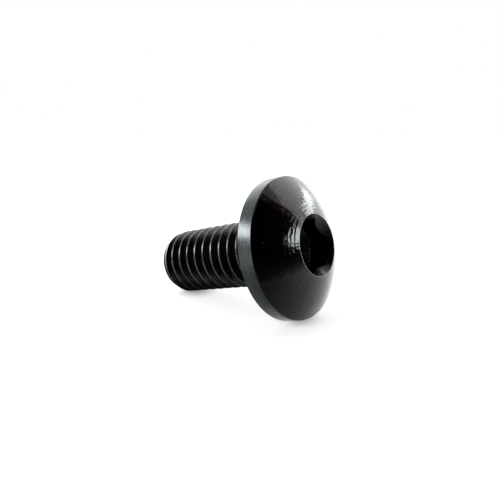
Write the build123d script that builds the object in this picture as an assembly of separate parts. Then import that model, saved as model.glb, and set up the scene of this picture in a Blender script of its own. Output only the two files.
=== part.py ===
from build123d import *
import os
from math import atan2, degrees, radians, sqrt, tan

# Button head socket screw with a metric coarse thread: one solid piece.
#
# The screw is built upright about the Z axis. The bearing face under the head is at Z = 0, the
# head is above it and the threaded shank hangs below it. It is then laid down as it comes to
# rest, on the back edge of the rim and on the last full turn of the thread. In the finished
# frame the floor is Z = 0, +X runs along the floor from the tip towards the head, and the
# screw's axis lies in the XZ plane. Lengths are in millimetres and angles in degrees.

# Head: a low button with an upright rim and a crown that slopes up to the socket's mouth.
HEAD_DIAMETER = 12.0
HEAD_HEIGHT = 3.3
RIM_HEIGHT = 1.35
RIM_FRONT_BREAK = 0.06
RIM_BACK_BREAK = 0.05
CROWN_BULGE = 0.15

# Hexagon socket with a countersunk mouth, a fine land round it and a coned floor. The mouth
# is as wide as the hexagon's corners and this margin.
SOCKET_FLATS = 4.0
SOCKET_DEPTH = 2.1
SOCKET_TURN = 6.0
SOCKET_FLOOR_ANGLE = 140.0
MOUTH_MARGIN = 0.22
MOUTH_LAND = 0.04
COUNTERSINK_ANGLE = 70.0

# Shank: a flared neck, a run-out, a full thread and a coned tip. The thread's groove runs out
# in the tip's last bit, so that its flat end is a full disc.
SHANK_LENGTH = 12.5
NECK_LENGTH = 1.7
FLARE_LENGTH = 0.5
FLARE_WIDTH = 0.4
RUNOUT_LENGTH = 0.9
TIP_LENGTH = 0.84
TIP_INSET = 0.39
TIP_DISC_LENGTH = 0.35

# Thread: right-handed, with the metric profile, whose depth and crest follow from the pitch.
THREAD_DIAMETER = 5.88
THREAD_PITCH = 1.0
THREAD_ANGLE = 60.0
DEPTH_PER_PITCH = 0.6134
CREST_PER_PITCH = 0.125

# How far a cutting tool runs past the material that it cuts, and how far one surface is sunk
# in another where two pieces of stock are joined.
OVERRUN = 1.0
SUNK = 0.12

head_radius = HEAD_DIAMETER / 2
socket_apothem = SOCKET_FLATS / 2
mouth_radius = SOCKET_FLATS / sqrt(3) + MOUTH_MARGIN
crest_radius = THREAD_DIAMETER / 2
thread_depth = DEPTH_PER_PITCH * THREAD_PITCH
root_radius = crest_radius - thread_depth
crest_width = CREST_PER_PITCH * THREAD_PITCH
tip_radius = crest_radius - TIP_INSET
shoulder = SHANK_LENGTH - TIP_LENGTH
runout_start = NECK_LENGTH + RUNOUT_LENGTH
stock_bottom = -SHANK_LENGTH - 2 * THREAD_PITCH

# The thread is rolled, so the neck has the diameter of the blank, half way up the ridge.
neck_radius = (crest_radius + root_radius) / 2


def revolved(points):
    """Solid of revolution about Z from the (radius, height) corners of half its section."""
    return revolve(make_face(Plane.XZ * Polyline(*points, close=True)), axis=Axis.Z)


def headed_neck():
    """Head, neck and run-out cone, turned in one piece from one half-section."""
    crown_foot = (head_radius, RIM_HEIGHT)
    crown_top = (mouth_radius + MOUTH_LAND, HEAD_HEIGHT)
    rim_back = (head_radius, 0)
    crown = SagittaArc(crown_top, crown_foot, CROWN_BULGE)
    flare = EllipticalCenterArc(
        (neck_radius + FLARE_WIDTH, -FLARE_LENGTH), FLARE_WIDTH, FLARE_LENGTH, 90, arc_size=90
    )

    # The cone meets the thread's root where the run-out starts, and ends inside the core.
    cone_slope = RUNOUT_LENGTH / (neck_radius - root_radius)
    cone_bottom = -runout_start - SUNK * cone_slope
    inner_side = Polyline(
        crown_top,
        (0, HEAD_HEIGHT),
        (0, cone_bottom),
        (root_radius - SUNK, cone_bottom),
        (neck_radius, -NECK_LENGTH),
        flare @ 1,
    )
    section = make_face(inner_side + flare + Polyline(flare @ 0, rim_back, crown_foot) + crown)
    for corner, size in ((rim_back, RIM_BACK_BREAK), (crown_foot, RIM_FRONT_BREAK)):
        section = chamfer(section.vertices().sort_by_distance(corner)[0], size)
    return revolve(Plane.XZ * section, axis=Axis.Z)


def thread_ridge():
    """Helical ridge with its base sunk in the core, longer than the shank at both ends.

    It starts on the +X side, which becomes the underside, so that the last full turn before
    the tip's cone is the one that the screw lies on.
    """
    depth = thread_depth + SUNK
    half_base = crest_width / 2 + depth * tan(radians(THREAD_ANGLE / 2))
    last_crest = shoulder - crest_width / 2
    start = -last_crest - 2 * THREAD_PITCH
    end = -NECK_LENGTH + THREAD_PITCH / 4
    path = Helix(THREAD_PITCH, end - start, crest_radius, center=(0, 0, start))
    profile = Polyline(
        (0, -crest_width / 2),
        (0, crest_width / 2),
        (-depth, half_base),
        (-depth, -half_base),
        close=True,
    )
    plane = Plane(origin=path @ 0, x_dir=(1, 0, 0), z_dir=path % 0)
    return sweep(plane * make_face(profile), path=path, is_frenet=True)


def core():
    """What the thread is rolled on: as thick as its root, and widened at the tip's disc."""
    top = -NECK_LENGTH / 2
    return revolved(
        [
            (0, top),
            (root_radius, top),
            (root_radius, -SHANK_LENGTH + TIP_DISC_LENGTH),
            (tip_radius, -SHANK_LENGTH),
            (tip_radius, stock_bottom),
            (0, stock_bottom),
        ]
    )


def threaded_shank():
    """Core and ridge, faded out towards the neck and cut to length at the tip."""
    return core() + thread_ridge() - runout_scrap() - tip_scrap()


def runout_scrap():
    """What fades the crests out: a cone from full height to the root over the run-out."""
    outside = crest_radius + OVERRUN
    inside = root_radius - 2 * SUNK
    fade = RUNOUT_LENGTH / thread_depth
    return revolved(
        [
            (outside, -runout_start - OVERRUN * fade),
            (outside, OVERRUN),
            (inside, OVERRUN),
            (inside, -runout_start + (crest_radius - inside) * fade),
        ]
    )


def tip_scrap():
    """What the tip's cone and flat end take off the overlong shank."""
    outside = crest_radius + OVERRUN
    cone_top = -shoulder + OVERRUN * TIP_LENGTH / TIP_INSET
    below = stock_bottom - OVERRUN
    return revolved(
        [
            (0, -SHANK_LENGTH),
            (tip_radius, -SHANK_LENGTH),
            (outside, cone_top),
            (outside, below),
            (0, below),
        ]
    )


def socket():
    """Hexagon, countersink and coned floor, as the solid that they take out of the head."""
    floor = HEAD_HEIGHT - SOCKET_DEPTH
    inside_flats = socket_apothem - SUNK
    hexagon = RegularPolygon(
        socket_apothem, 6, major_radius=False, rotation=30 + SOCKET_TURN
    )
    prism = extrude(Pos(0, 0, floor) * hexagon, amount=SOCKET_DEPTH + OVERRUN)

    spread = tan(radians(COUNTERSINK_ANGLE / 2))
    drill_point = inside_flats / tan(radians(SOCKET_FLOOR_ANGLE / 2))
    bored = revolved(
        [
            (0, HEAD_HEIGHT + OVERRUN),
            (mouth_radius + OVERRUN * spread, HEAD_HEIGHT + OVERRUN),
            (inside_flats, HEAD_HEIGHT - (mouth_radius - inside_flats) / spread),
            (inside_flats, floor),
            (0, floor - drill_point),
        ]
    )
    return prism + bored


def laid_down(upright):
    """The screw as it rests, with the middle of its footprint at the origin."""
    along = shoulder + RIM_BACK_BREAK
    lean = degrees(atan2(head_radius - crest_radius, along))
    leaned = Rot(0, 90 - lean, 0) * upright
    box = leaned.bounding_box()
    return Pos(-box.center().X, -box.center().Y, -box.min.Z) * leaned


screw = laid_down(threaded_shank() + headed_neck() - socket())

os.makedirs("parts", exist_ok=True)
export_step(screw, "parts/screw.step")
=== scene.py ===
"""A black button head socket screw, dressed for its looks and lying on a pale floor."""

import logging
import math
from dataclasses import dataclass, field
from enum import Enum

import bpy
from mathutils import Euler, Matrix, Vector


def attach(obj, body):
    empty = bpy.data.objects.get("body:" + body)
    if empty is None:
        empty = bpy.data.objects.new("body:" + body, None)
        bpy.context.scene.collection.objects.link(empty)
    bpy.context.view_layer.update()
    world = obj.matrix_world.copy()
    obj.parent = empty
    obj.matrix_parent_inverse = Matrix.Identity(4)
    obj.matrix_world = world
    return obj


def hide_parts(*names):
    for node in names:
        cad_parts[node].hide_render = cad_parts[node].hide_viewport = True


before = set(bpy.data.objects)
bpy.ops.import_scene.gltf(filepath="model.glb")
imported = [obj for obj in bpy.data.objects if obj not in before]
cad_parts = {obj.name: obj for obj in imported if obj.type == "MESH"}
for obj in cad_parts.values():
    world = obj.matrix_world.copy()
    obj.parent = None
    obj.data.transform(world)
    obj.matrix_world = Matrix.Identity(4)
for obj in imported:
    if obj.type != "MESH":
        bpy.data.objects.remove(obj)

LOG = logging.getLogger("button_screw")
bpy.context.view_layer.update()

# A millimetre in metres, the gap under which vertices are merged and the least length that
# counts. The last two are in millimetres.
MM = 0.001
MERGE_GAP = 0.0005
HAIR = 0.001

Pair = tuple[float, float]
Corner = tuple[float, float]
Point = tuple[float, float, float]
Tint = tuple[float, float, float]
Colour = tuple[float, float, float, float]
Socket = bpy.types.NodeSocket


class Surface(Enum):
    """The differently worked surfaces of the screw, in the order of its material slots."""

    SHANK = 0
    CROWN = 1
    RIM = 2
    SOCKET = 3
    BEARING = 4
    EDGE = 5
    CREST = 6


class Cut(Enum):
    """The ways in which one solid works on another."""

    JOIN = "UNION"
    REMOVE = "DIFFERENCE"
    KEEP_COMMON = "INTERSECT"


def clear_selection() -> None:
    """Leave edit mode and deselect every object."""
    if bpy.context.object is not None and bpy.context.object.mode != "OBJECT":
        bpy.ops.object.mode_set(mode="OBJECT")
    bpy.ops.object.select_all(action="DESELECT")


def make_active(piece: bpy.types.Object) -> None:
    """Select one object alone and make it the active one.

    Args:
        piece: The object to work on.
    """
    clear_selection()
    piece.select_set(True)
    bpy.context.view_layer.objects.active = piece


def chain(name: str, points: list[Point]) -> bpy.types.Object:
    """Draw an open chain of edges by extruding one vertex from point to point.

    Args:
        name: Name of the new object.
        points: The chain's points, in millimetres.

    Returns:
        The new object, left in edit mode with all of the chain selected.
    """
    clear_selection()
    bpy.ops.mesh.primitive_plane_add(size=1.0, location=(0.0, 0.0, 0.0))
    piece = bpy.context.object
    piece.name = name
    bpy.ops.object.mode_set(mode="EDIT")
    bpy.ops.mesh.select_mode(type="VERT")
    bpy.ops.mesh.select_all(action="SELECT")
    bpy.ops.mesh.merge(type="CENTER")
    bpy.ops.transform.translate(value=points[0])
    for start, end in zip(points, points[1:]):
        step = Vector(end) - Vector(start)
        bpy.ops.mesh.extrude_vertices_move(TRANSFORM_OT_translate={"value": step})
    bpy.ops.mesh.select_all(action="SELECT")
    return piece


def close_up(piece: bpy.types.Object) -> None:
    """Merge doubled vertices and turn all faces outwards.

    Args:
        piece: The mesh object.
    """
    make_active(piece)
    bpy.ops.object.mode_set(mode="EDIT")
    bpy.ops.mesh.select_all(action="SELECT")
    bpy.ops.mesh.remove_doubles(threshold=MERGE_GAP)
    bpy.ops.mesh.dissolve_degenerate(threshold=MERGE_GAP / 10)
    bpy.ops.mesh.normals_make_consistent(inside=False)
    bpy.ops.object.mode_set(mode="OBJECT")


def turned(name: str, half_section: list[Corner], steps: int) -> bpy.types.Object:
    """Turn a half-section about the Z axis into a closed solid.

    Args:
        name: Name of the new object.
        half_section: (radius, height) points from the axis at the top to the axis below.
        steps: Number of steps in a full turn.

    Returns:
        The turned solid.
    """
    piece = chain(name, [(radius, 0.0, height) for radius, height in half_section])
    bpy.ops.mesh.spin(
        steps=steps, angle=2 * math.pi, center=(0.0, 0.0, 0.0), axis=(0.0, 0.0, 1.0)
    )
    close_up(piece)
    return piece


def boolean(piece: bpy.types.Object, tool: bpy.types.Object, cut: Cut) -> None:
    """Work on a piece with another solid, which is used up.

    Args:
        piece: The solid that is changed.
        tool: The solid that changes it.
        cut: How the two are combined.
    """
    make_active(piece)
    bpy.ops.object.modifier_add(type="BOOLEAN")
    modifier = piece.modifiers[-1]
    modifier.operation = cut.value
    modifier.solver = "EXACT"
    modifier.object = tool
    bpy.ops.object.modifier_apply(modifier=modifier.name)
    bpy.data.objects.remove(tool)


def rounded(corners: list[tuple[float, float, float]], pieces: int = 4) -> list[Corner]:
    """Round the corners of an open polyline with small arcs.

    Args:
        corners: (x, y, radius) of each corner. A radius of 0 keeps the corner sharp.
        pieces: Number of edges in each arc.

    Returns:
        The points of the rounded polyline.
    """
    points = []
    for index, (x, y, radius) in enumerate(corners):
        here = Vector((x, y))
        if radius <= 0 or index in (0, len(corners) - 1):
            points.append((x, y))
            continue
        back = (Vector(corners[index - 1][:2]) - here).normalized()
        ahead = (Vector(corners[index + 1][:2]) - here).normalized()
        half = back.angle(ahead) / 2
        centre = here + (back + ahead).normalized() * radius / math.sin(half)
        first = here + back * radius / math.tan(half) - centre
        sweep = first.angle_signed(here + ahead * radius / math.tan(half) - centre)
        for step in range(pieces + 1):
            turn = -sweep * step / pieces
            arm = Vector(
                (
                    first.x * math.cos(turn) - first.y * math.sin(turn),
                    first.x * math.sin(turn) + first.y * math.cos(turn),
                )
            )
            points.append(tuple(centre + arm))
    return points


@dataclass(frozen=True)
class RestingPlace:
    """Where the screw lies: built upright about Z in millimetres, then leaned and moved."""

    bearing_centre: Point = (4.4481, 0.0, 5.79243)
    lean: float = math.radians(14.644773)

    @property
    def turn(self) -> Point:
        """Euler angles that lay the upright screw down."""
        return (0.0, math.pi / 2 - self.lean, 0.0)

    @property
    def place(self) -> Point:
        """Place of the bearing face's centre, in metres."""
        return tuple(value * MM for value in self.bearing_centre)

    def lay_down(self, piece: bpy.types.Object) -> None:
        """Lay a piece down in the row frame and apply its place to its mesh.

        Args:
            piece: The upright piece, in millimetres.
        """
        make_active(piece)
        piece.rotation_euler = Euler(self.turn)
        piece.location = self.place
        piece.scale = (MM, MM, MM)
        bpy.ops.object.transform_apply(location=True, rotation=True, scale=True)


@dataclass
class Nodes:
    """The node tree of a material or a world, with short calls that add and join its nodes."""

    owner: bpy.types.Material | bpy.types.World

    def add(self, kind: str, **values: object) -> bpy.types.Node:
        """Add a node and set its properties.

        Args:
            kind: Blender's name of the node type, without its leading ShaderNode.
            **values: Properties of the node.

        Returns:
            The new node.
        """
        node = self.owner.node_tree.nodes.new("ShaderNode" + kind)
        for name, value in values.items():
            setattr(node, name, value)
        return node

    def join(self, source: object, target: object) -> None:
        """Link an output, or set a constant, to an input.

        Args:
            source: An output socket, or the value of a constant.
            target: The input socket.
        """
        if isinstance(source, bpy.types.NodeSocket):
            self.owner.node_tree.links.new(source, target)
        else:
            target.default_value = source

    def math(self, operation: str, *inputs: object) -> Socket:
        """Add a Math node.

        Args:
            operation: The node's operation.
            *inputs: Its inputs, sockets or numbers.

        Returns:
            Its output socket.
        """
        node = self.add("Math", operation=operation)
        for value, socket in zip(inputs, node.inputs):
            self.join(value, socket)
        return node.outputs[0]

    def weighed(self, *parts: tuple[object, float]) -> Socket:
        """Add up several values with their weights.

        Args:
            *parts: Pairs of a value and its weight.

        Returns:
            The weighed sum.
        """
        total = 0.0
        for value, weight in parts:
            total = self.math("ADD", total, self.math("MULTIPLY", value, weight))
        return total

    def vector(self, *parts: object) -> Socket:
        """Add a Combine XYZ node.

        Args:
            *parts: Its three inputs.

        Returns:
            The vector.
        """
        node = self.add("CombineXYZ")
        for value, socket in zip(parts, node.inputs):
            self.join(value, socket)
        return node.outputs[0]

    def noise(self, vector: object, scale: float, detail: float, rough: float) -> Socket:
        """Add a Noise texture.

        Args:
            vector: Its vector.
            scale: Its scale.
            detail: Its detail.
            rough: Its roughness.

        Returns:
            Its factor, mostly between 0.3 and 0.7.
        """
        node = self.add("TexNoise", noise_dimensions="3D")
        self.join(vector, node.inputs["Vector"])
        node.inputs["Scale"].default_value = scale
        node.inputs["Detail"].default_value = detail
        node.inputs["Roughness"].default_value = rough
        return node.outputs[0]

    def spread(
        self, value: object, low: float, high: float, start: float = 0.0, end: float = 1.0
    ) -> Socket:
        """Map a range of values smoothly to another one.

        Args:
            value: The value's socket.
            low: Value that gives start.
            high: Value that gives end.
            start: Result at low.
            end: Result at high.

        Returns:
            The mapped value.
        """
        node = self.add("MapRange", interpolation_type="SMOOTHSTEP")
        self.join(value, node.inputs["Value"])
        node.inputs["From Min"].default_value = low
        node.inputs["From Max"].default_value = high
        node.inputs["To Min"].default_value = start
        node.inputs["To Max"].default_value = end
        return node.outputs[0]

    def blend(self, factor: object, first: object, second: object) -> Socket:
        """Mix two colours.

        Args:
            factor: Share of the second colour.
            first: First colour.
            second: Second colour.

        Returns:
            The mixed colour.
        """
        node = self.add("Mix", data_type="RGBA")
        self.join(factor, node.inputs["Factor"])
        self.join(first, node.inputs["A"])
        self.join(second, node.inputs["B"])
        return node.outputs["Result"]


@dataclass(frozen=True)
class BlackOxide:
    """Black oxide on one worked surface of the screw.

    The marks run round the screw's axis where the surface was turned or rolled, the streaks
    run outwards where it was pressed, and the oxide is a little uneven in colour and gloss.
    Depths are in millimetres, and each noise is given by its detail and its roughness.
    """

    name: str
    dark: Colour
    light: Colour
    metallic: float
    ior: float
    gloss: Pair
    mark_scale: float = 6.0
    mark_stretch: float = 0.25
    mark_depth: float = 0.003
    mark_noise: Pair = (1.0, 0.4)
    streak_depth: float = 0.0
    streak_scale: float = 14.0
    streak_slip: float = 0.04
    cloud_scale: float = 1.1
    cloud_noise: Pair = (4.0, 0.55)
    grain_scale: float = 9.0
    grain_noise: Pair = (3.0, 0.6)
    grain_share: float = 0.1
    colour_mix: Point = (0.6, 0.2, 0.2)
    colour_range: Pair = (0.38, 0.62)
    gloss_mix: Point = (0.4, 0.3, 0.3)
    gloss_range: Pair = (0.36, 0.64)
    dust: Colour = (0.35, 0.35, 0.34, 1.0)
    dust_scale: float = 1.6
    dust_chosen: Pair = (0.9, 0.92)
    dust_edge: Pair = (0.1, 0.05)
    axis_gap: float = 0.05
    rest: RestingPlace = RestingPlace()

    def material(self) -> bpy.types.Material:
        """Build the finish as a node material.

        Returns:
            The new material.
        """
        made = bpy.data.materials.new(self.name)
        made.use_nodes = True
        made.node_tree.nodes.clear()
        nodes = Nodes(made)
        local, around, outward = self.axis_vectors(nodes)
        marks = nodes.noise(around, self.mark_scale, *self.mark_noise)
        streaks = nodes.noise(outward, self.streak_scale, *self.mark_noise)
        clouds = nodes.noise(local, self.cloud_scale, *self.cloud_noise)
        grain = nodes.noise(local, self.grain_scale, *self.grain_noise)

        shader = nodes.add("BsdfPrincipled")
        patchy = nodes.weighed(*zip((clouds, marks, streaks), self.colour_mix))
        colour = nodes.blend(nodes.spread(patchy, *self.colour_range), self.dark, self.light)
        colour = nodes.blend(self.specks(nodes, local), colour, self.dust)
        shader.inputs["Metallic"].default_value = self.metallic
        nodes.join(colour, shader.inputs["Base Color"])
        uneven = nodes.weighed(*zip((marks, grain, streaks), self.gloss_mix))
        roughness = nodes.spread(uneven, *self.gloss_range, *self.gloss)
        nodes.join(roughness, shader.inputs["Roughness"])
        shader.inputs["IOR"].default_value = self.ior

        worked = nodes.weighed((marks, 1.0), (grain, self.grain_share))
        bump = self.relief(nodes, self.mark_depth, worked, None)
        if self.streak_depth > 0.0:
            bump = self.relief(nodes, self.streak_depth, streaks, bump)
        nodes.join(bump, shader.inputs["Normal"])
        output = nodes.add("OutputMaterial")
        nodes.join(shader.outputs["BSDF"], output.inputs["Surface"])
        return made

    def specks(self, nodes: Nodes, local: object) -> Socket:
        """A few specks of dust.

        Args:
            nodes: The material's nodes.
            local: The point in millimetres.

        Returns:
            1 on a speck and 0 elsewhere.
        """
        cells = nodes.add("TexVoronoi", feature="F1")
        nodes.join(local, cells.inputs["Vector"])
        cells.inputs["Scale"].default_value = self.dust_scale
        parts = nodes.add("SeparateColor")
        nodes.join(cells.outputs["Color"], parts.inputs[0])
        chosen = nodes.spread(parts.outputs[0], *self.dust_chosen)
        inside = nodes.spread(cells.outputs["Distance"], *self.dust_edge)
        return nodes.math("MULTIPLY", chosen, inside)

    def relief(self, nodes: Nodes, depth: float, height: object, below: object) -> Socket:
        """Add a Bump node.

        Args:
            nodes: The material's nodes.
            depth: Depth of the relief in millimetres.
            height: The relief.
            below: The normal that it is added to, or None.

        Returns:
            The new normal.
        """
        bump = nodes.add("Bump")
        bump.inputs["Strength"].default_value = 1.0
        bump.inputs["Distance"].default_value = depth * MM
        nodes.join(height, bump.inputs["Height"])
        if below is not None:
            nodes.join(below, bump.inputs["Normal"])
        return bump.outputs["Normal"]

    def axis_vectors(self, nodes: Nodes) -> tuple[Socket, Socket, Socket]:
        """Coordinates of the screw's own axis.

        Args:
            nodes: The material's nodes.

        Returns:
            The point in millimetres with Z along the axis, a vector that changes slowly round
            the axis and fast along the section, and one that changes the other way round.
        """
        place = nodes.add("TexCoord")
        mapping = nodes.add("Mapping", vector_type="TEXTURE")
        mapping.inputs["Location"].default_value = self.rest.place
        mapping.inputs["Rotation"].default_value = self.rest.turn
        mapping.inputs["Scale"].default_value = (MM, MM, MM)
        nodes.join(place.outputs["Object"], mapping.inputs["Vector"])
        parts = nodes.add("SeparateXYZ")
        nodes.join(mapping.outputs["Vector"], parts.inputs[0])
        x, y, z = parts.outputs
        squares = (nodes.math("MULTIPLY", value, value) for value in (x, y))
        radius = nodes.math("SQRT", nodes.math("ADD", *squares))
        arm = nodes.math("MAXIMUM", radius, self.axis_gap)
        across, up = nodes.math("DIVIDE", x, arm), nodes.math("DIVIDE", y, arm)
        section = nodes.math("SUBTRACT", z, radius)
        around = nodes.vector(
            section,
            nodes.math("MULTIPLY", across, self.mark_stretch),
            nodes.math("MULTIPLY", up, self.mark_stretch),
        )
        slipped = nodes.math("MULTIPLY", section, self.streak_slip)
        outward = nodes.vector(across, up, slipped)
        return mapping.outputs["Vector"], around, outward


FINISHES = {
    Surface.SHANK: BlackOxide(
        name="rolled_black_oxide",
        dark=(0.0006, 0.0006, 0.0007, 1.0),
        light=(0.002, 0.002, 0.0017, 1.0),
        metallic=0.0,
        ior=1.39,
        gloss=(0.16, 0.3),
        mark_scale=5.0,
        mark_stretch=0.5,
        mark_depth=0.004,
    ),
    Surface.CROWN: BlackOxide(
        name="pressed_black_oxide",
        dark=(0.0003, 0.0003, 0.0004, 1.0),
        light=(0.0008, 0.0008, 0.0008, 1.0),
        metallic=0.0,
        ior=1.38,
        gloss=(0.09, 0.16),
        mark_scale=3.6,
        mark_stretch=1.4,
        mark_depth=0.018,
        streak_depth=0.015,
    ),
    Surface.RIM: BlackOxide(
        name="machined_black_oxide",
        dark=(0.052, 0.063, 0.067, 1.0),
        light=(0.082, 0.09, 0.09, 1.0),
        metallic=1.0,
        ior=1.5,
        gloss=(0.18, 0.28),
        mark_scale=12.0,
        mark_stretch=0.12,
        mark_depth=0.003,
    ),
    Surface.SOCKET: BlackOxide(
        name="broached_black_oxide",
        dark=(0.0004, 0.0004, 0.0004, 1.0),
        light=(0.0016, 0.0016, 0.0018, 1.0),
        metallic=0.0,
        ior=1.36,
        gloss=(0.16, 0.3),
        mark_scale=8.0,
        mark_stretch=1.5,
        mark_depth=0.012,
    ),
    Surface.BEARING: BlackOxide(
        name="faced_black_oxide",
        dark=(0.008, 0.008, 0.009, 1.0),
        light=(0.014, 0.014, 0.015, 1.0),
        metallic=0.0,
        ior=1.45,
        gloss=(0.25, 0.4),
        mark_scale=8.0,
        mark_stretch=0.2,
    ),
    Surface.EDGE: BlackOxide(
        name="worn_edge",
        dark=(0.03, 0.031, 0.033, 1.0),
        light=(0.13, 0.13, 0.135, 1.0),
        metallic=1.0,
        ior=1.5,
        gloss=(0.2, 0.32),
        mark_scale=3.0,
        mark_stretch=2.0,
    ),
    Surface.CREST: BlackOxide(
        name="worn_thread_crest",
        dark=(0.04, 0.042, 0.045, 1.0),
        light=(0.115, 0.115, 0.12, 1.0),
        metallic=1.0,
        ior=1.5,
        gloss=(0.2, 0.32),
        mark_scale=3.0,
        mark_stretch=2.0,
    ),
}


@dataclass
class Head:
    """Button head with its socket, its neck and the cone that the thread fades out on.

    Lengths are in millimetres, and heights start at the bearing face. The lands are rings on
    the crown beside the socket's mouth, given by their inner and outer radius.
    """

    radius: float = 5.996
    height: float = 3.3
    rim_height: float = 1.35
    rim_front_break: float = 0.06
    rim_back_break: float = 0.05
    crown_bulge: float = 0.15
    mouth_radius: float = 2.529
    mouth_land: float = 0.04
    countersink_half_angle: float = math.radians(35.0)
    socket_apothem: float = 2.0
    socket_depth: float = 2.1
    socket_turn: float = math.radians(6.0)
    socket_corner_round: float = 0.03
    socket_floor_half_angle: float = math.radians(70.0)
    neck_radius: float = 2.6333
    neck_length: float = 1.7
    flare_width: float = 0.4
    flare_length: float = 0.5
    runout_length: float = 0.9
    root_radius: float = 2.3266
    sunk: float = 0.12
    lands: list[Pair] = field(
        default_factory=lambda: [(2.64, 2.93), (3.01, 3.24), (3.33, 3.53), (3.77, 3.88)]
    )
    land_lip: float = 0.02
    land_rise: float = 0.07
    land_middle: float = math.radians(-128.0)
    land_reach: float = math.radians(38.0)
    land_fade: float = math.radians(16.0)
    mouth_round: float = 0.012
    mouth_land_round: float = 0.015
    rim_front_round: float = 0.05
    rim_back_round: float = 0.04
    crown_start: float = 2.63
    crown_lead: float = 0.1
    crown_margin: float = 0.13
    rim_margin: float = 0.12
    bearing_margin: float = 0.4
    drill_margin: float = 0.03
    overrun: float = 1.0
    steps: int = 240
    crown_steps: int = 30
    round_steps: int = 5
    flare_steps: int = 8
    corner_steps: int = 4
    drill_steps: int = 96

    def build(self) -> bpy.types.Object:
        """Turn the head and cut its socket.

        Returns:
            The head, upright, in millimetres.
        """
        head = turned("button_head", self.half_section(), self.steps)
        self.press_lands(head)
        boolean(head, self.socket_tool(), Cut.REMOVE)
        return head

    def crown_height(self, radius: float) -> float:
        """Height of the smooth crown.

        Args:
            radius: Distance from the axis.

        Returns:
            The height over the bearing face.
        """
        foot = Vector((self.radius, self.rim_height))
        top = Vector((self.mouth_radius + self.mouth_land, self.height))
        chord = top - foot
        half = chord.length / 2
        arc_radius = (half * half + self.crown_bulge**2) / (2 * self.crown_bulge)
        outward = Vector((chord.y, -chord.x)).normalized()
        centre = foot + chord / 2 - outward * (arc_radius - self.crown_bulge)
        return centre.y + math.sqrt(arc_radius**2 - (radius - centre.x) ** 2)

    def crown(self) -> list[Corner]:
        """Points of the crown from the mouth to the rim, close together where the lands are.

        Returns:
            (radius, height) points.
        """
        start = self.lands[-1][1] + self.crown_lead
        end = self.radius - self.crown_margin
        radii = [
            start + (end - start) * step / self.crown_steps
            for step in range(self.crown_steps + 1)
        ]
        for inner, outer in self.lands:
            radii += [inner, inner + self.land_lip, outer - self.land_lip, outer]
        return [(radius, self.crown_height(radius)) for radius in sorted(radii)]

    def press_lands(self, head: bpy.types.Object) -> None:
        """Tilt the narrow lands beside the mouth, which fade out round the head.

        Args:
            head: The turned head, upright, in millimetres.
        """
        for vertex in head.data.vertices:
            x, y, height = vertex.co
            radius = math.hypot(x, y)
            aside = abs(math.atan2(y, x) - self.land_middle)
            aside = min(aside, 2 * math.pi - aside) - self.land_reach
            share = 1 - min(max(aside / self.land_fade, 0.0), 1.0)
            for inner, outer in self.lands:
                if height > self.rim_height and inner < radius < outer + HAIR:
                    vertex.co.z += (radius - inner) * self.land_rise * share

    def half_section(self) -> list[Corner]:
        """The head's half-section, from the axis in the socket to the axis under the run-out.

        Returns:
            (radius, height) points.
        """
        bore_radius = self.socket_apothem - self.sunk
        bore_height = self.height - (self.mouth_radius - bore_radius) / math.tan(
            self.countersink_half_angle
        )
        mouth = rounded(
            [
                (bore_radius, bore_height, 0.0),
                (self.mouth_radius, self.height, self.mouth_round),
                (self.mouth_radius + self.mouth_land, self.height, self.mouth_land_round),
                (self.crown_start, self.crown_height(self.crown_start), 0.0),
            ],
            self.round_steps,
        )[:-1]
        crown_end = self.radius - self.rim_margin
        front = self.radius - self.rim_front_round
        rim = rounded(
            [
                (crown_end, self.crown_height(crown_end), 0.0),
                (front, self.crown_height(front), self.rim_front_round),
                (self.radius, self.rim_height - self.rim_front_break, self.rim_front_round),
                (self.radius, self.rim_back_break, self.rim_back_round),
                (self.radius - self.rim_back_break, 0.0, self.rim_back_round),
                (self.neck_radius + self.flare_width + self.bearing_margin, 0.0, 0.0),
            ],
            self.round_steps,
        )[1:-1]
        flare = [
            (
                self.neck_radius + self.flare_width * (1 - math.sin(turn)),
                -self.flare_length * (1 - math.cos(turn)),
            )
            for turn in (
                math.pi / 2 * step / self.flare_steps for step in range(self.flare_steps + 1)
            )
        ]
        slope = self.runout_length / (self.neck_radius - self.root_radius)
        cone_bottom = -self.neck_length - self.runout_length - self.sunk * slope
        neck = [
            (self.neck_radius, -self.neck_length),
            (self.root_radius - self.sunk, cone_bottom),
            (0.0, cone_bottom),
        ]
        return [(0.0, bore_height), *mouth, *self.crown(), *rim, *flare, *neck]

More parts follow.
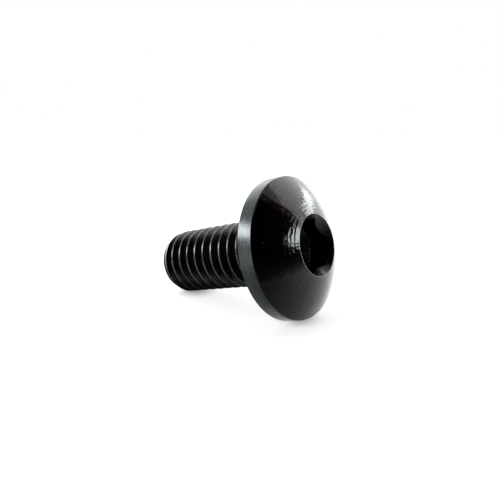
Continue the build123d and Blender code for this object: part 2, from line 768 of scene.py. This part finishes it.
    def socket_tool(self) -> bpy.types.Object:
        """The hexagon broach with the drill's cone below it.

        Returns:
            The tool, upright, in millimetres.
        """
        floor = self.height - self.socket_depth
        top = self.height + self.overrun
        clear_selection()
        bpy.ops.mesh.primitive_cylinder_add(
            vertices=6,
            radius=self.socket_apothem / math.cos(math.pi / 6),
            depth=top - floor,
            location=(0.0, 0.0, (top + floor) / 2),
            rotation=(0.0, 0.0, self.socket_turn),
        )
        broach = bpy.context.object
        bpy.ops.object.transform_apply(location=True, rotation=True, scale=True)
        bpy.ops.object.mode_set(mode="EDIT")
        bpy.ops.mesh.select_all(action="DESELECT")
        bpy.ops.object.mode_set(mode="OBJECT")
        for edge in broach.data.edges:
            low, high = (broach.data.vertices[index].co for index in edge.vertices)
            edge.select = abs(low.z - high.z) > HAIR
        bpy.ops.object.mode_set(mode="EDIT")
        bpy.ops.mesh.select_mode(type="EDGE")
        bpy.ops.mesh.bevel(
            offset=self.socket_corner_round, segments=self.corner_steps, affect="EDGES"
        )
        bpy.ops.object.mode_set(mode="OBJECT")
        slope = 1 / math.tan(self.socket_floor_half_angle)
        point = floor - (self.socket_apothem - self.sunk) * slope
        wide = self.socket_apothem - self.drill_margin
        drill_top = top - self.overrun / 2
        drill = turned(
            "drill",
            [(0.0, drill_top), (wide, drill_top), (wide, point + wide * slope), (0.0, point)],
            self.drill_steps,
        )
        boolean(broach, drill, Cut.JOIN)
        return broach


@dataclass
class Shank:
    """Threaded shank: a rolled right-handed thread, faded out at the neck, with a coned tip.

    Lengths are in millimetres, and the shank hangs below the bearing face at height 0.
    """

    length: float = 12.5
    crest_radius: float = 2.94
    depth: float = 0.6134
    pitch: float = 1.0
    crest_width: float = 0.15
    crest_round: float = 0.055
    bare_depth: float = 0.08
    half_angle: float = math.radians(30.0)
    tip_length: float = 0.84
    tip_inset: float = 0.39
    tip_round: float = 0.04
    tip_disc_length: float = 0.35
    runout_start: float = 2.6
    runout_length: float = 0.9
    root_round: float = 0.06
    spare_pitches: int = 4
    spare_at_tip: float = 0.4
    spare_at_neck: float = 1.0
    disc_sunk: float = 0.15
    disc_overrun: float = 0.3
    envelope_margin: float = 0.2
    envelope_inset: float = 0.24
    envelope_top: float = 0.5
    steps: int = 120
    turns: int = 16

    @property
    def root_radius(self) -> float:
        """Radius at the thread's root."""
        return self.crest_radius - self.depth

    @property
    def tip_radius(self) -> float:
        """Radius of the tip's flat end."""
        return self.crest_radius - self.tip_inset

    def build(self) -> bpy.types.Object:
        """Wind the thread and cut it to its envelope.

        Returns:
            The shank, upright, in millimetres.
        """
        shank = self.wound()
        boolean(shank, self.tip_disc(), Cut.JOIN)
        boolean(shank, self.envelope(), Cut.KEEP_COMMON)
        return shank

    def ridge(self, middle: float) -> list[Point]:
        """One pitch of the thread's section.

        Args:
            middle: Height of the crest's middle.

        Returns:
            Points from the middle of one root to the middle of the next.
        """
        root = self.root_radius
        half_crest = self.crest_width / 2
        half_base = half_crest + self.depth * math.tan(self.half_angle)
        bare = self.crest_radius - self.bare_depth
        half_bare = half_crest + self.bare_depth * math.tan(self.half_angle)
        section = rounded(
            [
                (root, -self.pitch / 2, 0.0),
                (root, -half_base, self.root_round),
                (bare, -half_bare, 0.0),
                (self.crest_radius, -half_crest, self.crest_round),
                (self.crest_radius, half_crest, self.crest_round),
                (bare, half_bare, 0.0),
                (root, half_base, self.root_round),
                (root, self.pitch / 2, 0.0),
            ]
        )
        return [(radius, 0.0, middle + height) for radius, height in section]

    def wound(self) -> bpy.types.Object:
        """Wind the section round the axis, and cap the wound rod at both ends.

        Returns:
            A closed threaded rod, longer than the shank's thread at both ends.
        """
        last_crest = -(self.length - self.tip_length - self.crest_width / 2)
        start = last_crest - self.spare_pitches * self.pitch
        rod = chain("threaded_shank", self.ridge(start))
        bpy.ops.object.mode_set(mode="OBJECT")
        bpy.ops.object.modifier_add(type="SCREW")
        screw = rod.modifiers[-1]
        screw.axis = "Z"
        screw.angle = 2 * math.pi
        screw.screw_offset = self.pitch
        screw.iterations = self.turns
        screw.steps = self.steps
        screw.render_steps = self.steps
        screw.use_merge_vertices = True
        screw.merge_threshold = MERGE_GAP
        bpy.ops.object.modifier_apply(modifier=screw.name)
        close_up(rod)
        bpy.ops.object.mode_set(mode="EDIT")
        for height, outward in (
            (-self.length - self.spare_at_tip, -1.0),
            (-self.runout_start + self.spare_at_neck, 1.0),
        ):
            bpy.ops.mesh.select_all(action="SELECT")
            bpy.ops.mesh.bisect(
                plane_co=(0.0, 0.0, height),
                plane_no=(0.0, 0.0, outward),
                use_fill=True,
                clear_outer=True,
            )
        bpy.ops.object.mode_set(mode="OBJECT")
        close_up(rod)
        return rod

    def tip_disc(self) -> bpy.types.Object:
        """The blank's end, where the thread's groove runs out.

        Returns:
            The disc as a turned solid.
        """
        slope = self.tip_disc_length / (self.tip_radius - self.root_radius)
        inside = self.root_radius - self.disc_sunk
        top = -self.length + (self.tip_radius - inside) * slope
        bottom = -self.length - self.disc_overrun
        outline = [
            (0.0, top),
            (inside, top),
            (self.tip_radius, -self.length),
            (self.tip_radius, bottom),
            (0.0, bottom),
        ]
        return turned("tip_disc", outline, self.steps)

    def envelope(self) -> bpy.types.Object:
        """What the finished shank fits in: the tip's cone, its full size and the run-out.

        Returns:
            The envelope as a turned solid.
        """
        outside = self.crest_radius + self.envelope_margin
        inside = self.root_radius - self.envelope_inset
        fade = self.runout_length / self.depth
        rise = self.tip_length / self.tip_inset
        shoulder = -self.length + self.tip_length
        outline = rounded(
            [
                (0.0, self.envelope_top, 0.0),
                (inside, self.envelope_top, 0.0),
                (inside, -self.runout_start + (self.crest_radius - inside) * fade, 0.0),
                (outside, -self.runout_start - self.envelope_margin * fade, 0.0),
                (outside, shoulder + self.envelope_margin * rise, 0.0),
                (self.tip_radius, -self.length, self.tip_round),
                (0.0, -self.length, 0.0),
            ]
        )
        return turned("shank_envelope", outline, self.steps)


@dataclass
class ButtonScrew:
    """The whole screw: head and shank in one solid, dressed and laid down.

    The lengths below tell apart the surfaces of the upright screw, in millimetres.
    """

    head: Head = field(default_factory=Head)
    shank: Shank = field(default_factory=Shank)
    rest: RestingPlace = RestingPlace()
    smooth_angle: float = math.radians(32.0)
    flare_bottom: float = -0.55
    neck_top: float = 0.1
    socket_bottom: float = 0.3
    crown_bottom: float = 1.0
    crown_slope: float = 0.2
    rim_inside: float = 5.7
    slack: float = 0.01

    def build(self) -> bpy.types.Object:
        """Build, join, dress and lay down the screw.

        Returns:
            The finished piece.
        """
        screw = self.head.build()
        boolean(screw, self.shank.build(), Cut.JOIN)
        screw.name = "button_head_screw"
        close_up(screw)
        self.dress(screw)
        self.rest.lay_down(screw)
        bpy.ops.object.shade_smooth_by_angle(angle=self.smooth_angle)
        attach(screw, "root")
        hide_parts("screw")
        return screw

    def dress(self, screw: bpy.types.Object) -> None:
        """Give each face the finish of its surface.

        Args:
            screw: The upright screw.
        """
        screw.data.materials.clear()
        for surface in Surface:
            screw.data.materials.append(FINISHES[surface].material())
        for face in screw.data.polygons:
            radius = math.hypot(face.center.x, face.center.y)
            surface = self.surface_at(radius, face.center.z, face.normal.z)
            face.material_index = surface.value

    def surface_at(self, radius: float, height: float, upward: float) -> Surface:
        """Which surface a face belongs to.

        Args:
            radius: The face's distance from the axis.
            height: Its height over the bearing face.
            upward: How far its normal points up the axis.

        Returns:
            The surface.
        """
        head, shank = self.head, self.shank
        by_neck = height < self.neck_top and radius < head.neck_radius + self.slack
        if height < self.flare_bottom or by_neck:
            bare = shank.crest_radius - shank.bare_depth
            return Surface.CREST if radius > bare else Surface.SHANK
        mouth_edge = head.mouth_radius + head.mouth_land + 2 * self.slack
        if height > head.height - 2 * self.slack and radius < mouth_edge:
            return Surface.EDGE
        if height > self.socket_bottom and radius < head.mouth_radius:
            return Surface.SOCKET
        if height > self.crown_bottom and upward > self.crown_slope:
            return Surface.CROWN
        on_rim = radius > self.rim_inside and height > -self.slack
        return Surface.RIM if on_rim else Surface.BEARING


def direction(azimuth: float, elevation: float) -> Vector:
    """Unit vector of a direction from the screw.

    Args:
        azimuth: Degrees from +X towards +Y.
        elevation: Degrees over the floor.

    Returns:
        The direction.
    """
    turn, rise = math.radians(azimuth), math.radians(elevation)
    return Vector(
        (math.cos(rise) * math.cos(turn), math.cos(rise) * math.sin(turn), math.sin(rise))
    )


@dataclass(frozen=True)
class SoftBox:
    """A soft box that faces the screw, and that only polished faces show.

    It hangs at a distance in metres along an azimuth and an elevation, and is rolled about its
    own middle, all in degrees. Its size is its width and height in metres. A brightness of 1
    is white.
    """

    name: str
    azimuth: float
    elevation: float
    distance: float
    size: Pair
    brightness: float
    tint: Tint
    roll: float = 0.0
    watts_per_square_metre: float = 4.0

    def hang(self, target: Point) -> None:
        """Hang the soft box.

        Args:
            target: The place that it faces, in metres.
        """
        clear_selection()
        arm = direction(self.azimuth, self.elevation)
        bpy.ops.object.light_add(type="AREA", location=Vector(target) + arm * self.distance)
        lamp = bpy.context.object
        lamp.name = self.name
        lamp.rotation_euler = arm.to_track_quat("Z", "Y").to_euler()
        lamp.rotation_euler.rotate_axis("Z", math.radians(self.roll))
        lamp.data.shape = "RECTANGLE"
        lamp.data.size, lamp.data.size_y = self.size
        width, height = self.size
        lamp.data.energy = self.brightness * self.watts_per_square_metre * width * height
        lamp.data.color = self.tint
        lamp.visible_camera = False
        lamp.visible_diffuse = False


WARM: Tint = (0.99, 1.0, 0.975)
COOL: Tint = (0.94, 1.0, 1.0)
LILAC: Tint = (1.0, 0.96, 1.0)

SOFT_BOXES = (
    SoftBox("right_wall", 82.0, 28.0, 0.2, (0.38, 0.24), 1.5, WARM),
    SoftBox("right_strip", 76.0, 25.6, 0.18, (0.108, 0.0235), 6.5, COOL, roll=-15.0),
    SoftBox("hot_box", 15.4, 22.9, 0.0231, (0.0096, 0.0052), 13.5, COOL, roll=21.0),
    SoftBox("dim_box", 32.9, 35.5, 0.0252, (0.006, 0.005), 1.5, WARM, roll=30.0),
    SoftBox("back_wall", 150.0, 28.0, 0.2, (0.13, 0.1), 0.9, WARM),
    SoftBox("left_box", -143.0, 20.0, 0.4, (0.22, 0.085), 8.0, LILAC),
)


@dataclass
class Studio:
    """Floor, light and camera round the screw. Places are in metres.

    The floor glows a little to the camera except by the screw's two contacts, a painted
    contact shadow over the real one. To polished faces it glows by place as a painted
    reflection:
    a painted pool of light behind the screw, softer at its tip, and a painted shadow under it.
    """

    camera_place: Point = (0.02789141, -0.03481460, 0.01628675)
    camera_view: Point = (-0.59593054, 0.76487888, -0.24459575)
    lens: float = 36.9216
    target: Point = (0.0065, 0.0, 0.0065)
    floor_radius: float = 0.45
    floor_corners: int = 128
    floor_colour: Colour = (0.85, 0.85, 0.85, 1.0)
    # Painted shade: a darker copy of the floor colour, for mirrored and diffuse rays.
    floor_shaded_colour: Colour = (0.32, 0.32, 0.32, 1.0)
    # Painted contact shadow: the camera's glow is low by the two contacts and higher away from
    # them.
    floor_glow: Pair = (0.24, 0.74)
    contacts: Pair = (-0.0060, 0.0060)
    contact_shadow_reach: float = 0.0026
    # Painted reflection: to polished faces the floor glows brighter behind the screw and at
    # its tip, dimmer on the right, with a painted shadow under the shank.
    back_painted_light: Pair = (0.03, 1.9)
    back_span: Pair = (-0.011, 0.016)
    right_painted_shade: Pair = (1.0, 0.5)
    right_span: Pair = (0.02, 0.04)
    left_painted_light: Pair = (0.0, 0.75)
    left_span: Pair = (0.013, -0.014)
    under_shadow_middle: Pair = (-0.006, 0.0015)
    under_shadow_reach: float = 0.004
    under_shadow_span: Pair = (0.003, 0.0098)
    sky_fill: float = 0.95
    card_near: Pair = (-100.0, 0.031)
    card_far: Pair = (39.0, 0.22)
    card_height: float = 0.42
    card_lift: float = 0.0015
    card_colour: Colour = (0.002, 0.002, 0.002, 1.0)
    card_end: Colour = (0.5, 0.18, 0.22, 1.0)
    card_end_span: Pair = (-0.28, 0.02)
    card_foot: Colour = (0.26, 0.34, 0.4, 1.0)
    card_foot_span: Pair = (-0.5, -0.477)
    card_foot_along: Pair = (-0.45, -0.25)
    card_foot_shares: Pair = (0.25, 1.0)
    sensor_width: float = 36.0
    clip_start: float = 0.002
    clip_end: float = 20.0

    def build(self) -> None:
        """Set up the whole studio."""
        self.colours()
        self.floor()
        self.sky()
        for box in SOFT_BOXES:
            box.hang(self.target)
        self.dark_card()
        self.camera()

    def colours(self) -> None:
        """Show colours plainly."""
        bpy.context.scene.view_settings.view_transform = "Standard"

    def floor(self) -> None:
        """Lay the pale floor, which stays white to the eye but keeps the screw's shadow."""
        clear_selection()
        bpy.ops.mesh.primitive_circle_add(
            vertices=self.floor_corners,
            radius=self.floor_radius,
            fill_type="NGON",
            location=(0.0, 0.0, 0.0),
        )
        plane = bpy.context.object
        plane.name = "floor"
        made = bpy.data.materials.new("pale_floor")
        made.use_nodes = True
        made.node_tree.nodes.clear()
        nodes = Nodes(made)
        path = nodes.add("LightPath")
        straight = nodes.math(
            "MAXIMUM", path.outputs["Is Camera Ray"], path.outputs["Is Transmission Ray"]
        )
        matt = nodes.add("BsdfDiffuse")
        # Painted shade: the floor is darker to mirrored and diffuse rays than to the camera.
        shade = nodes.blend(straight, self.floor_shaded_colour, self.floor_colour)
        nodes.join(shade, matt.inputs["Color"])
        place = nodes.add("TexCoord")
        parts = nodes.add("SeparateXYZ")
        nodes.join(place.outputs["Object"], parts.inputs[0])
        x, y, _ = parts.outputs
        shown = nodes.math("MULTIPLY", straight, self.glow_shown_with_painted_shadow(nodes, x, y))
        # Painted reflection: the floor's glow to polished faces, with painted light and
        # shadow.
        mirrored = nodes.math(
            "MULTIPLY", path.outputs["Is Glossy Ray"], self.painted_floor_reflection(nodes, x, y)
        )
        glow = nodes.add("Emission")
        nodes.join(nodes.math("ADD", shown, mirrored), glow.inputs["Strength"])
        total = nodes.add("AddShader")
        nodes.join(matt.outputs[0], total.inputs[0])
        nodes.join(glow.outputs[0], total.inputs[1])
        output = nodes.add("OutputMaterial")
        nodes.join(total.outputs[0], output.inputs["Surface"])
        plane.data.materials.append(made)

    def glow_shown_with_painted_shadow(self, nodes: Nodes, x: Socket, y: Socket) -> Socket:
        """How much the floor glows to the camera, which fades out at the screw's contacts as a
        painted contact shadow.

        Args:
            nodes: The nodes to add to.
            x: X of the place, in metres.
            y: Y of the place.

        Returns:
            The glow.
        """
        near = nodes.math(
            "MINIMUM", *(self.distance(nodes, x, y, contact, 0.0) for contact in self.contacts)
        )
        # Painted contact shadow: less glow within reach of a contact.
        return nodes.spread(near, 0.0, self.contact_shadow_reach, *self.floor_glow)

    def painted_floor_reflection(self, nodes: Nodes, x: Socket, y: Socket) -> Socket:
        """How much the floor glows to the screw's polished faces, a painted reflection of a
        floor lit behind the screw and shaded under it.

        Args:
            nodes: The nodes to add to.
            x: X of the place, in metres.
            y: Y of the place.

        Returns:
            The glow.
        """
        # Painted light behind the screw, dimmed on the right as painted shade, and painted
        # light towards the tip.
        behind = nodes.math(
            "MULTIPLY",
            nodes.spread(y, *self.back_span, *self.back_painted_light),
            nodes.spread(x, *self.right_span, *self.right_painted_shade),
        )
        lit = nodes.math("ADD", behind, nodes.spread(x, *self.left_span, *self.left_painted_light))
        # Painted shadow under the shank.
        middle_x, middle_y = self.under_shadow_middle
        aside = nodes.math("SUBTRACT", y, middle_y)
        under = self.distance(nodes, x, aside, middle_x, self.under_shadow_reach)
        return nodes.math("MULTIPLY", lit, nodes.spread(under, *self.under_shadow_span))

    def distance(
        self, nodes: Nodes, x: Socket, y: Socket, middle: float, reach: float
    ) -> Socket:
        """Distance on the floor from a stretch of the X axis.

        Args:
            nodes: The nodes to add to.
            x: X of the place, in metres.
            y: Y of the place.
            middle: X of the stretch's middle.
            reach: Half the stretch's length.

        Returns:
            The distance in metres.
        """
        along = nodes.math("ABSOLUTE", nodes.math("SUBTRACT", x, middle))
        beyond = nodes.math("MAXIMUM", nodes.math("SUBTRACT", along, reach), 0.0)
        squares = (nodes.math("MULTIPLY", value, value) for value in (beyond, y))
        return nodes.math("SQRT", nodes.math("ADD", *squares))

    def seen(self, nodes: Nodes) -> Socket:
        """Whether a ray is one that shows a background: straight, mirrored or refracted.

        Args:
            nodes: The nodes to add to.

        Returns:
            1 for such a ray and 0 for the others.
        """
        path = nodes.add("LightPath")
        shown = nodes.math(
            "MAXIMUM", path.outputs["Is Camera Ray"], path.outputs["Is Glossy Ray"]
        )
        return nodes.math("MAXIMUM", shown, path.outputs["Is Transmission Ray"])

    def sky(self) -> None:
        """Surround the scene with an even white, softer as a light than as a background."""
        world = bpy.data.worlds.new("studio_sky")
        world.use_nodes = True
        world.node_tree.nodes.clear()
        bpy.context.scene.world = world
        nodes = Nodes(world)
        background = nodes.add("Background")
        background.inputs["Color"].default_value = (1.0, 1.0, 1.0, 1.0)
        strength = nodes.add("MapRange")
        nodes.join(self.seen(nodes), strength.inputs["Value"])
        strength.inputs["To Min"].default_value = self.sky_fill
        strength.inputs["To Max"].default_value = 1.0
        nodes.join(strength.outputs[0], background.inputs["Strength"])
        output = nodes.add("OutputWorld")
        nodes.join(background.outputs[0], output.inputs["Surface"])
        world.cycles.sampling_method = "NONE"

    def dark_card(self) -> None:
        """Stand a black card before the screw, which the camera doesn't see.

        It turns red towards its far end and a pale blue along its foot.
        """
        near, far = (
            direction(azimuth, 0.0) * distance
            for azimuth, distance in (self.card_near, self.card_far)
        )
        middle = (near + far) / 2
        run = far - near
        clear_selection()
        bpy.ops.mesh.primitive_plane_add(size=1.0, location=(0.0, 0.0, 0.0))
        card = bpy.context.object
        card.name = "black_card"
        card.scale = (run.length, self.card_height, 1.0)
        card.rotation_euler = (math.pi / 2, 0.0, math.atan2(run.y, run.x))
        card.location = (
            self.target[0] + middle.x,
            self.target[1] + middle.y,
            self.card_lift + self.card_height / 2,
        )
        made = bpy.data.materials.new("black_velvet")
        made.use_nodes = True
        made.node_tree.nodes.clear()
        nodes = Nodes(made)
        place = nodes.add("TexCoord")
        parts = nodes.add("SeparateXYZ")
        nodes.join(place.outputs["Object"], parts.inputs[0])
        along, up, _ = parts.outputs
        at_foot = nodes.math(
            "MULTIPLY",
            nodes.spread(up, *self.card_foot_span, 1.0, 0.0),
            nodes.spread(along, *self.card_foot_along, *self.card_foot_shares),
        )
        at_end = nodes.spread(along, *self.card_end_span)
        velvet = nodes.add("BsdfDiffuse")
        shade = nodes.blend(at_end, self.card_colour, self.card_end)
        nodes.join(nodes.blend(at_foot, shade, self.card_foot), velvet.inputs["Color"])
        output = nodes.add("OutputMaterial")
        nodes.join(velvet.outputs[0], output.inputs["Surface"])
        card.data.materials.append(made)
        card.visible_camera = False
        card.visible_transmission = False

    def camera(self) -> None:
        """Set the camera."""
        clear_selection()
        bpy.ops.object.camera_add(location=self.camera_place)
        camera = bpy.context.object
        camera.name = "camera"
        camera.rotation_euler = Vector(self.camera_view).to_track_quat("-Z", "Y").to_euler()
        camera.data.sensor_width = self.sensor_width
        camera.data.lens = self.lens
        camera.data.clip_start = self.clip_start
        camera.data.clip_end = self.clip_end
        bpy.context.scene.camera = camera


def main() -> None:
    """Build the screw and its studio, and report each piece."""
    logging.basicConfig(level=logging.INFO, format="%(name)s: %(message)s")
    screw = ButtonScrew().build()
    LOG.info("%s: %d faces", screw.name, len(screw.data.polygons))
    Studio().build()
    LOG.info("studio: floor, sky, lamps, card and camera")


if __name__ == "__main__":
    main()
